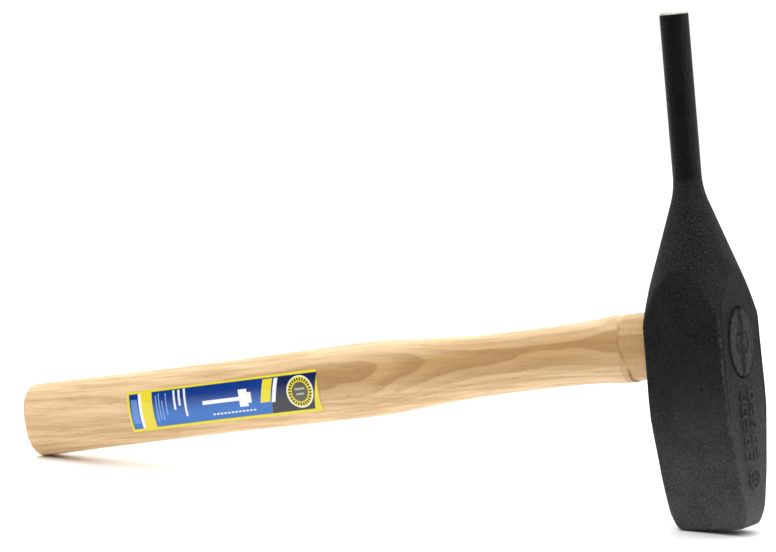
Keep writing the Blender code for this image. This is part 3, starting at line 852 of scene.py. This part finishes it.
def painted_end(name, scale, tone):
    """Black paint brushed over the end of a wedge, wood or steel, with the base showing a little."""
    nodes = Nodes(name)
    vector, x, _, _ = nodes.place()
    grain = nodes.noise(nodes.stretch(vector, (0.3, 1.0, 1.0)), scale, 3.0, 0.6)
    black = nodes.mix(nodes.ramp(grain, 0.42, 0.68), DEEP_BLACK, BRUSHED_BLACK)
    edge = nodes.math("ADD", x, nodes.math("MULTIPLY", grain, 0.001))
    paint = nodes.ramp(edge, HALF_LENGTH - 0.0035, HALF_LENGTH - 0.0028)
    color = nodes.mix(paint, tone, black)
    rough = nodes.math("ADD", nodes.math("MULTIPLY", grain, 0.25), 0.42)
    return nodes.set(
        Base_Color=color,
        Roughness=rough,
        Specular_IOR_Level=0.12,
        Normal=nodes.bump(grain, 0.0030),
    )


class Print:
    """Flat printing on the label: shapes placed in millimetres, laid one over another."""

    def __init__(self, nodes, along, up, color):
        self.nodes, self.along, self.up, self.color = nodes, along, up, color

    def inside(self, distance):
        """1 where a distance is positive, with an edge about 0.1 mm soft."""
        return self.nodes.ramp(distance, -0.05, 0.05)

    def box_mask(self, left, right, low, high, slant=0.0):
        """Mask of an upright or leaning bar."""
        n = self.nodes
        middle = (low + high) / 2
        shift = n.math("MULTIPLY", n.math("SUBTRACT", self.up, middle), slant)
        along = n.math("SUBTRACT", self.along, shift)
        across = n.math("ABSOLUTE", n.math("SUBTRACT", along, (left + right) / 2))
        rise = n.math("ABSOLUTE", n.math("SUBTRACT", self.up, middle))
        gap_x = n.math("SUBTRACT", (right - left) / 2, across)
        gap_y = n.math("SUBTRACT", (high - low) / 2, rise)
        return self.inside(n.math("MINIMUM", gap_x, gap_y))

    def box(self, left, right, low, high, color, slant=0.0, strength=1.0):
        """Print an upright or leaning bar."""
        mask = self.box_mask(left, right, low, high, slant)
        if strength < 1.0:
            mask = self.nodes.math("MULTIPLY", mask, strength)
        self.color = self.nodes.mix(mask, self.color, color)

    def offset(self, centre_x, centre_y):
        """Distances from a point: along the label, up it, and straight."""
        n = self.nodes
        dx, dy = n.math("SUBTRACT", self.along, centre_x), n.math("SUBTRACT", self.up, centre_y)
        square = n.math("ADD", n.math("MULTIPLY", dx, dx), n.math("MULTIPLY", dy, dy))
        return dx, dy, n.math("SQRT", square)

    def disc(self, centre_x, centre_y, radius, color):
        """Print a disc."""
        n = self.nodes
        _, _, reach = self.offset(centre_x, centre_y)
        self.color = n.mix(self.inside(n.math("SUBTRACT", radius, reach)), self.color, color)

    def ticks(self, centre_x, centre_y, inner, outer, count, color):
        """A ring of short dashes, like the teeth of a seal."""
        n = self.nodes
        dx, dy, reach = self.offset(centre_x, centre_y)
        turn = n.math("MULTIPLY", n.math("ARCTAN2", dy, dx), count / (2 * math.pi))
        tooth = n.ramp(n.math("ABSOLUTE", n.math("SUBTRACT", n.math("FRACT", turn), 0.5)), 0.18, 0.24)
        off_middle = n.math("ABSOLUTE", n.math("SUBTRACT", reach, (outer + inner) / 2))
        band = n.math("SUBTRACT", (outer - inner) / 2, off_middle)
        self.color = n.mix(n.math("MULTIPLY", tooth, self.inside(band)), self.color, color)


def label_print(height):
    """Glossy printed film: yellow border, blue panels, bars and a plain seal, with no lettering."""
    nodes = Nodes("label_print")
    spot = nodes.add("ShaderNodeUVMap", uv_map="print").outputs[0]
    split = nodes.add("ShaderNodeSeparateXYZ", {0: spot})
    along, up = split.outputs[0], split.outputs[1]
    sheet = Print(nodes, along, up, nodes.mix(0.5, YELLOW, YELLOW))
    low, high = 2.0, height - 1.5
    rise = nodes.ramp(up, low, high)
    blue = nodes.mix(nodes.ramp(rise, 0.15, 0.85), (0.025, 0.160, 0.54), (0.0010, 0.036, 0.240))
    # A thin dark outline shows round the panels laid over it
    for left, right, slant in ((1.5, 8.1, 0.0), (18.1, 106.0, 0.0), (103.5, 132.9, 0.25)):
        ends = low - OUTLINE_WIDTH, high + OUTLINE_WIDTH
        sheet.box(left, right, *ends, NAVY, slant=slant, strength=OUTLINE_STRENGTH)
    sheet.box(1.8, 8.1, low, high, blue)
    sheet.box(2.6, 7.3, low + 3, high - 3, LIGHT_BLUE, strength=0.7)
    sheet.box(8.1, 10.1, low, high, WHITE)
    sheet.box(18.4, 106.0, low, high, blue)
    shade = nodes.mix(nodes.ramp(rise, 0.0, 1.0), CHARCOAL, NAVY)
    sheet.box(103.5, 132.6, low, high, shade, slant=0.25)
    # Bars that stand in for small print
    for left, start, end in FINE_BARS:
        sheet.box(left, left + FINE_BAR_WIDTH, start, end, SOFT_BLUE, strength=0.75)
    for left, start, end in BOLD_BARS:
        sheet.box(left, left + BOLD_BAR_WIDTH, start, end, WHITE, strength=0.9)
    # A plain hammer sign and a dashed rule
    sheet.box(54.0, 84.0, 11.2, 13.4, WHITE)
    sheet.box(80.0, 86.0, 7.6, 17.4, WHITE)
    sheet.box(86.0, 88.6, 9.4, 15.4, WHITE)
    for step in range(12):
        left = 60.0 + step * 2.6
        sheet.box(left, left + 1.7, 4.6, 5.6, WHITE, strength=0.85)
    sheet.box(96.2, 103.0, 8.6, high - 0.5, YELLOW, slant=0.27)
    sheet.box(104.0, 106.6, 8.2, high - 0.5, WHITE, slant=0.27)
    seal_x, seal_y = 122.6, (low + high) / 2 + 0.3
    sheet.disc(seal_x, seal_y, 9.1, WHITE)
    sheet.disc(seal_x, seal_y, 8.5, YELLOW)
    sheet.ticks(seal_x, seal_y, 6.1, 7.9, 26, CHARCOAL)
    sheet.disc(seal_x, seal_y, 5.5, SEAL_BROWN)
    sheet.box(seal_x - 3.4, seal_x + 3.4, seal_y + 1.0, seal_y + 2.2, SEAL_GREY)
    sheet.box(seal_x - 2.6, seal_x + 2.6, seal_y - 1.8, seal_y - 0.7, SEAL_GREY)
    vector, _, _, _ = nodes.place()
    wave = nodes.noise(vector, 160.0, 2.0)
    rough = nodes.math("ADD", nodes.math("MULTIPLY", wave, 0.16), 0.16)
    return nodes.set(
        Base_Color=sheet.color,
        Roughness=rough,
        Specular_IOR_Level=0.5,
        Normal=nodes.bump(wave, 0.0001),
    )


# ---------------------------------------------------------------- stage
def make_floor():
    """A wide pale floor that stops a little in front, so the head mirrors the darker room above."""
    mesh = bpy.data.meshes.new("studio_floor")
    corners = [
        (-FLOOR_REACH, -FLOOR_FRONT, 0),
        (FLOOR_REACH, -FLOOR_FRONT, 0),
        (FLOOR_REACH, FLOOR_REACH, 0),
        (-FLOOR_REACH, FLOOR_REACH, 0),
    ]
    mesh.from_pydata(corners, [], [(0, 1, 2, 3)])
    nodes = Nodes("pale_floor")
    vector, _, _, _ = nodes.place()
    cloud = nodes.noise(vector, 3.0, 2.0)
    color = nodes.mix(cloud, (0.93, 0.93, 0.93), (0.95, 0.95, 0.95))
    mesh.materials.append(nodes.set(Base_Color=color, Roughness=0.85, Specular_IOR_Level=0.2))
    floor = bpy.data.objects.new("studio_floor", mesh)
    bpy.context.scene.collection.objects.link(floor)


def add_softbox(name, place, target, size, power):
    """A rectangular area light aimed at a point."""
    light = bpy.data.lights.new(name, "AREA")
    light.shape = "RECTANGLE"
    light.size, light.size_y = size
    light.energy = power
    item = bpy.data.objects.new(name, light)
    item.location = place
    aim = Vector(place) - Vector(target)
    item.rotation_euler = aim.to_track_quat("Z", "Y").to_euler()
    item.visible_camera = False
    bpy.context.scene.collection.objects.link(item)


def make_lights():
    """A sun as wide as a sky, three softboxes, a dim room and a backdrop the camera sees white."""
    world = bpy.data.worlds.new("studio")
    world.use_nodes = True
    tree = world.node_tree
    seen = tree.nodes.new("ShaderNodeLightPath").outputs["Is Camera Ray"]
    level = tree.nodes.new("ShaderNodeMapRange")
    tree.links.new(seen, level.inputs["Value"])
    level.inputs["To Min"].default_value = ROOM_LIGHT
    level.inputs["To Max"].default_value = BACKDROP_LIGHT
    tree.links.new(level.outputs[0], tree.nodes["Background"].inputs["Strength"])
    tree.nodes["Background"].inputs["Color"].default_value = (1.0, 1.0, 1.0, 1.0)
    bpy.context.scene.world = world
    dome = bpy.data.lights.new("dome", "SUN")
    dome.energy = DOME_POWER
    dome.angle = DOME_ANGLE
    item = bpy.data.objects.new("dome", dome)
    item.rotation_euler = Vector(DOME_FROM).to_track_quat("Z", "Y").to_euler()
    bpy.context.scene.collection.objects.link(item)
    add_softbox("overhead", (0.0, -0.10, 1.10), HEAD_AIM, (1.5, 1.5), 9.0)
    add_softbox("back", (-0.4, 1.5, 1.3), HEAD_AIM, (1.4, 0.8), 12.0)
    add_softbox("back_right", (1.5, 0.9, 0.5), HEAD_AIM, (0.6, 1.2), 9.0)


def make_camera():
    """The camera, at a product photographer's distance with a long lens."""
    camera = bpy.data.cameras.new("camera")
    camera.sensor_width = 36.0
    camera.lens = CAMERA_LENS
    item = bpy.data.objects.new("camera", camera)
    turn = Matrix.Rotation(math.radians(CAMERA_AZIMUTH), 4, "Z")
    tilt = Matrix.Rotation(math.radians(90 - CAMERA_ELEVATION), 4, "X")
    roll = Matrix.Rotation(math.radians(CAMERA_ROLL), 4, "Z")
    item.matrix_world = Matrix.Translation(Vector(CAMERA_PLACE)) @ turn @ tilt @ roll
    bpy.context.scene.collection.objects.link(item)
    bpy.context.scene.camera = item
    bpy.context.scene.view_settings.view_transform = "Standard"


def main():
    """Build the pieces and the stage."""
    add_piece("forged_head", make_head_mesh(), black_paint(), "head_paint", "head")
    add_piece("turned_handle", make_handle_mesh(), lacquered_wood(), "handle_wood", "handle")
    wedge_end = painted_end("painted_wedge", 500.0, (0.50, 0.33, 0.19))
    add_piece("driven_wedge", make_wedge_mesh(), wedge_end, "wedge_wood", "wood_wedge")
    ring_end = painted_end("painted_ring", 500.0, (0.22, 0.215, 0.21))
    add_piece("driven_ring", ring_mesh("driven_ring", 0.0, 0.1 * MM), ring_end, "ring_steel", "ring_wedge")
    film, height = make_label_mesh()
    add_piece("label_film", film, label_print(height), "label_film", "label")
    make_floor()
    make_lights()
    make_camera()


main()
